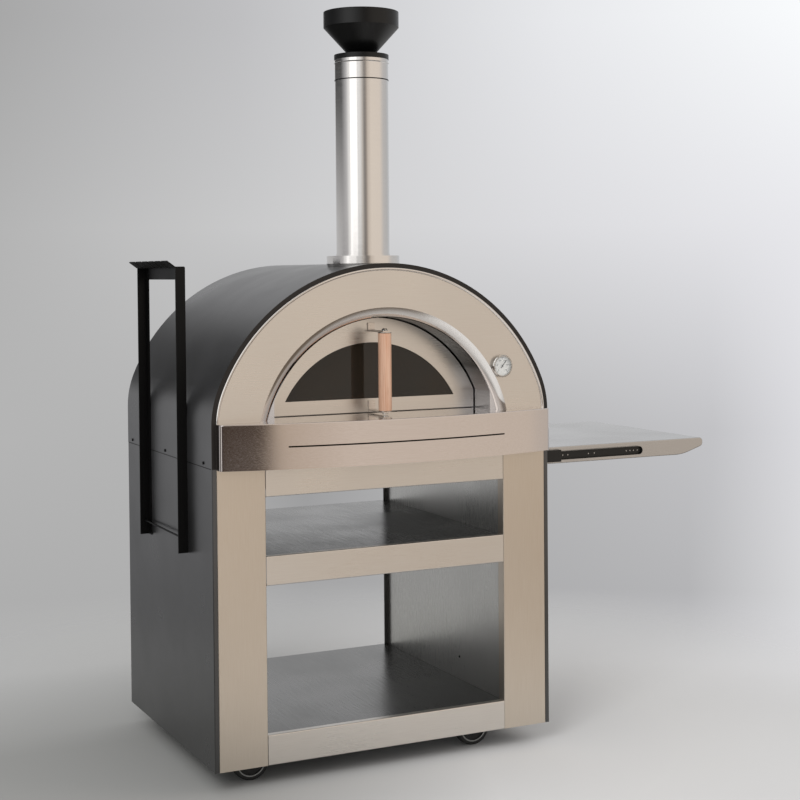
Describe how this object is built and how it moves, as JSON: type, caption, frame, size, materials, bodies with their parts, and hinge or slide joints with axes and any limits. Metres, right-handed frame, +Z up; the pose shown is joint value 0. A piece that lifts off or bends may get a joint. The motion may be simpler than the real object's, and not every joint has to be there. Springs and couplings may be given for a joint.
{
  "type": "wood fired pizza oven",
  "caption": "Arched wood fired oven with lift-off door, chimney, tool rack and sliding side shelf, on an open steel cabinet with castors.",
  "frame": {"origin": "on the floor, under the middle of the cabinet", "axes": "+X to the oven's right as seen from its front, +Y to its back, +Z up; the mouth faces -Y"},
  "size_m": [1.6128, 0.865, 2.061],
  "materials": {
    "black_coat": "satin",
    "black_steel": "satin",
    "front_steel": "satin",
    "inner_steel": "satin",
    "chimney_steel": "gloss",
    "bright_metal": "gloss",
    "slide_black": "satin",
    "zinc_steel": "satin",
    "refractory": "matte",
    "hearth_stone": "matte",
    "blanket": "matte",
    "beech": "satin",
    "window_glass": "gloss",
    "lens_glass": "gloss",
    "dial_white": "matte",
    "needle_black": "matte",
    "wheel_rubber": "matte"
  },
  "bodies": {
    "oven": {"side_panel_left": "black_coat", "side_panel_right": "black_coat", "front_column_left": "front_steel", "front_column_right": "front_steel", "bottom_rail": "front_steel", "middle_rail": "front_steel", "top_rail": "front_steel", "inner_wall_left": "inner_steel", "inner_wall_right": "inner_steel", "back_columns": "black_steel", "lower_shelf": "inner_steel", "middle_shelf": "inner_steel", "base_frame": "black_steel", "pocket_floor": "zinc_steel", "deck_plate": "zinc_steel", "dome_cover": "black_coat", "dome_trim": "black_coat", "back_panel": "black_coat", "arch_front": "front_steel", "mouth_ring": "front_steel", "mouth_liner": "inner_steel", "inner_vault": "refractory", "dome_insulation": "blanket", "floor_insulation": "blanket", "floor_tiles": "hearth_stone", "landing_shelf": "front_steel", "thermometer_case": "bright_metal", "thermometer_dial": "dial_white", "thermometer_lens": "lens_glass", "flue_collar": "chimney_steel", "inner_flue": "chimney_steel", "chimney_pipe": "chimney_steel", "chimney_sleeve": "chimney_steel", "chimney_cap": "black_steel", "rack_post_front": "black_steel", "rack_post_back": "black_steel", "rack_comb": "black_steel", "rack_rod": "black_steel", "slide_outer_members": "slide_black", "slide_brackets": "zinc_steel", "castor_plates": "zinc_steel", "body_screws": "black_steel"},
    "door": {"door_front": "front_steel", "door_back": "inner_steel", "door_glass": "window_glass", "handle_grip": "beech", "handle_bracket": "bright_metal", "handle_rod": "bright_metal"},
    "needle": {"thermometer_needle": "needle_black"},
    "side_shelf": {"side_shelf": "front_steel", "slide_inner_members": "slide_black"},
    "slide_middle": {"slide_middle_members": "slide_black"},
    "swivel_front_left": {"castor_fork_front_left": "zinc_steel"},
    "wheel_front_left": {"castor_wheel_front_left": "wheel_rubber"},
    "swivel_front_right": {"castor_fork_front_right": "zinc_steel"},
    "wheel_front_right": {"castor_wheel_front_right": "wheel_rubber"},
    "swivel_back_left": {"castor_fork_back_left": "zinc_steel"},
    "wheel_back_left": {"castor_wheel_back_left": "wheel_rubber"},
    "swivel_back_right": {"castor_fork_back_right": "zinc_steel"},
    "wheel_back_right": {"castor_wheel_back_right": "wheel_rubber"}
  },
  "joints": [
    {"name": "door_lift_off", "type": "slide", "parent": "oven", "child": "door", "axis": [0, -1, 0], "range_m": [0, 0.2]},
    {"name": "needle_turn", "type": "hinge", "parent": "oven", "child": "needle", "pos_m": [0.35001, -0.387, 1.0795], "axis": [0, -1, 0], "range_deg": [-95, 175]},
    {"name": "side_shelf_slide", "type": "slide", "parent": "oven", "child": "side_shelf", "axis": [1, 0, 0], "range_m": [-0.5, 0]},
    {"name": "slide_middle_travel", "type": "slide", "parent": "oven", "child": "slide_middle", "axis": [1, 0, 0], "range_m": [-0.25, 0]},
    {"name": "swivel_front_left", "type": "hinge", "parent": "oven", "child": "swivel_front_left", "pos_m": [-0.335, -0.286, 0.1], "axis": [0, 0, 1], "continuous": true},
    {"name": "spin_front_left", "type": "hinge", "parent": "swivel_front_left", "child": "wheel_front_left", "pos_m": [-0.371, -0.286, 0.05], "axis": [0, 1, 0], "continuous": true},
    {"name": "swivel_front_right", "type": "hinge", "parent": "oven", "child": "swivel_front_right", "pos_m": [0.335, -0.286, 0.1], "axis": [0, 0, 1], "continuous": true},
    {"name": "spin_front_right", "type": "hinge", "parent": "swivel_front_right", "child": "wheel_front_right", "pos_m": [0.299, -0.286, 0.05], "axis": [0, 1, 0], "continuous": true},
    {"name": "swivel_back_left", "type": "hinge", "parent": "oven", "child": "swivel_back_left", "pos_m": [-0.335, 0.286, 0.1], "axis": [0, 0, 1], "continuous": true},
    {"name": "spin_back_left", "type": "hinge", "parent": "swivel_back_left", "child": "wheel_back_left", "pos_m": [-0.371, 0.286, 0.05], "axis": [0, 1, 0], "continuous": true},
    {"name": "swivel_back_right", "type": "hinge", "parent": "oven", "child": "swivel_back_right", "pos_m": [0.335, 0.286, 0.1], "axis": [0, 0, 1], "continuous": true},
    {"name": "spin_back_right", "type": "hinge", "parent": "swivel_back_right", "child": "wheel_back_right", "pos_m": [0.299, 0.286, 0.05], "axis": [0, 1, 0], "continuous": true}
  ],
  "couplings": [
    {"joint": "slide_middle_travel", "follows": "side_shelf_slide", "ratio": 0.5}
  ]
}
